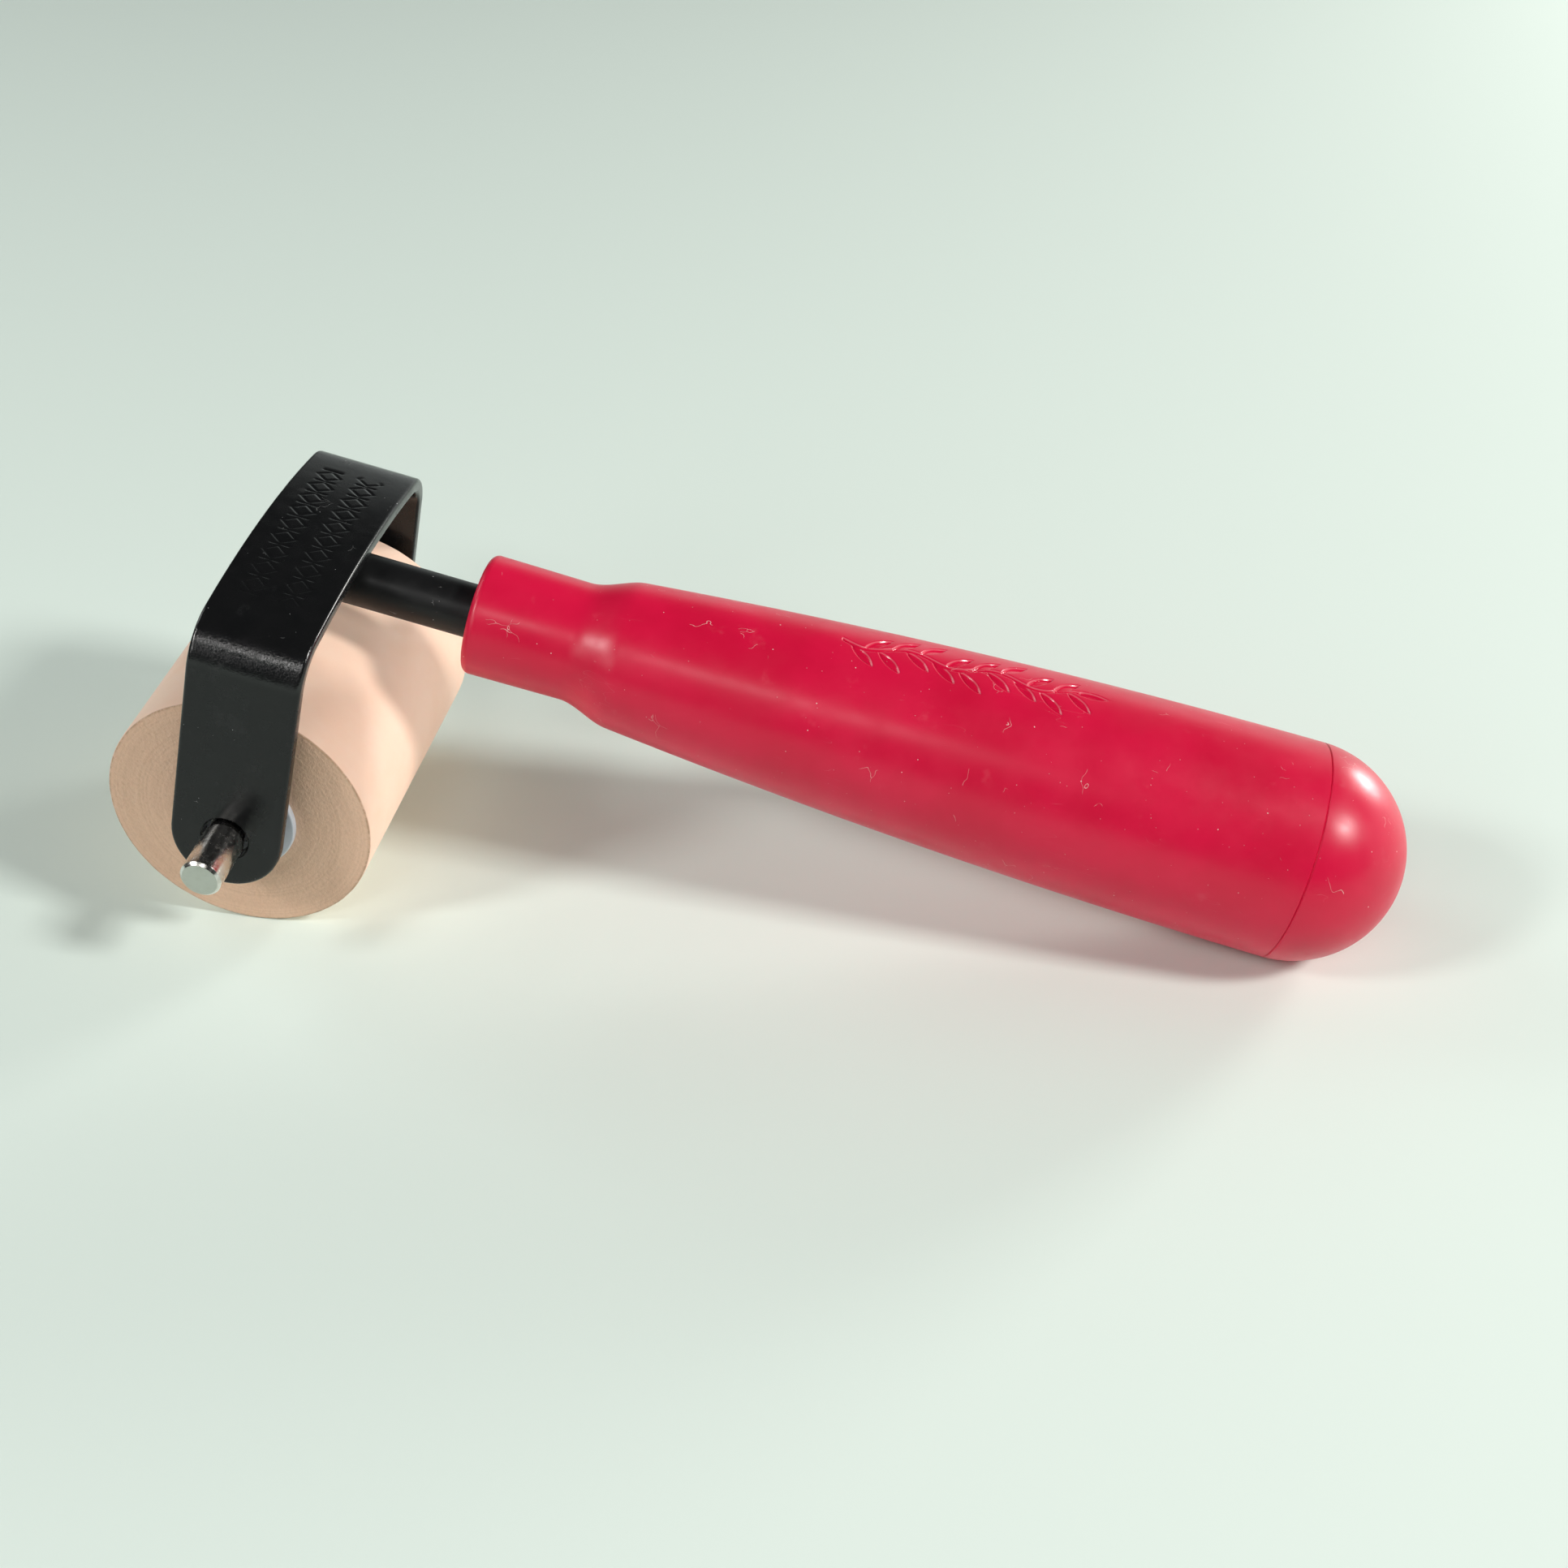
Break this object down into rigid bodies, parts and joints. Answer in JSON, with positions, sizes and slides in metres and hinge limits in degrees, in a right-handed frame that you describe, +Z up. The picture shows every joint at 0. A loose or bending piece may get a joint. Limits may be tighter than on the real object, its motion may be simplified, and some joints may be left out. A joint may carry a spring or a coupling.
{
  "type": "rubber brayer",
  "caption": "Hand brayer: a soft rubber roller turning on a steel axle in a bent strap fork, with a welded stem and a hollow tapered plastic handle.",
  "frame": {"origin": "middle of the footprint, on the plane that the roller and the end of the handle rest on", "axes": "+X towards the end of the handle, +Y along the axle, +Z up; the tool rests leaning back by 12.5 degrees"},
  "size_m": [0.196, 0.0822, 0.0588],
  "materials": {
    "rubber": "matte, ground soft rubber",
    "core_plastic": "matte",
    "bushing_nylon": "natural nylon",
    "axle_steel": "bright nickel plate",
    "black_enamel": "gloss, slight orange peel",
    "red_plastic": "satin",
    "spring_steel": "blued"
  },
  "bodies": {
    "handle_frame": {"frame_strap": "black_enamel", "stem": "black_enamel", "weld_beads": "black_enamel", "handle_body": "red_plastic", "handle_cap": "red_plastic", "push_nut": "spring_steel"},
    "axle": {"axle_pin": "axle_steel"},
    "roller": {"rubber_sleeve": "rubber", "roller_core": "core_plastic", "bushing_left": "bushing_nylon", "bushing_right": "bushing_nylon"}
  },
  "joints": [
    {"name": "axle_turn", "type": "hinge", "parent": "handle_frame", "child": "axle", "pos_m": [-0.0773, 0, 0.02075], "axis": [0, 1, 0], "continuous": true},
    {"name": "roller_spin", "type": "hinge", "parent": "axle", "child": "roller", "pos_m": [-0.0773, 0, 0.02075], "axis": [0, 1, 0], "continuous": true}
  ]
}
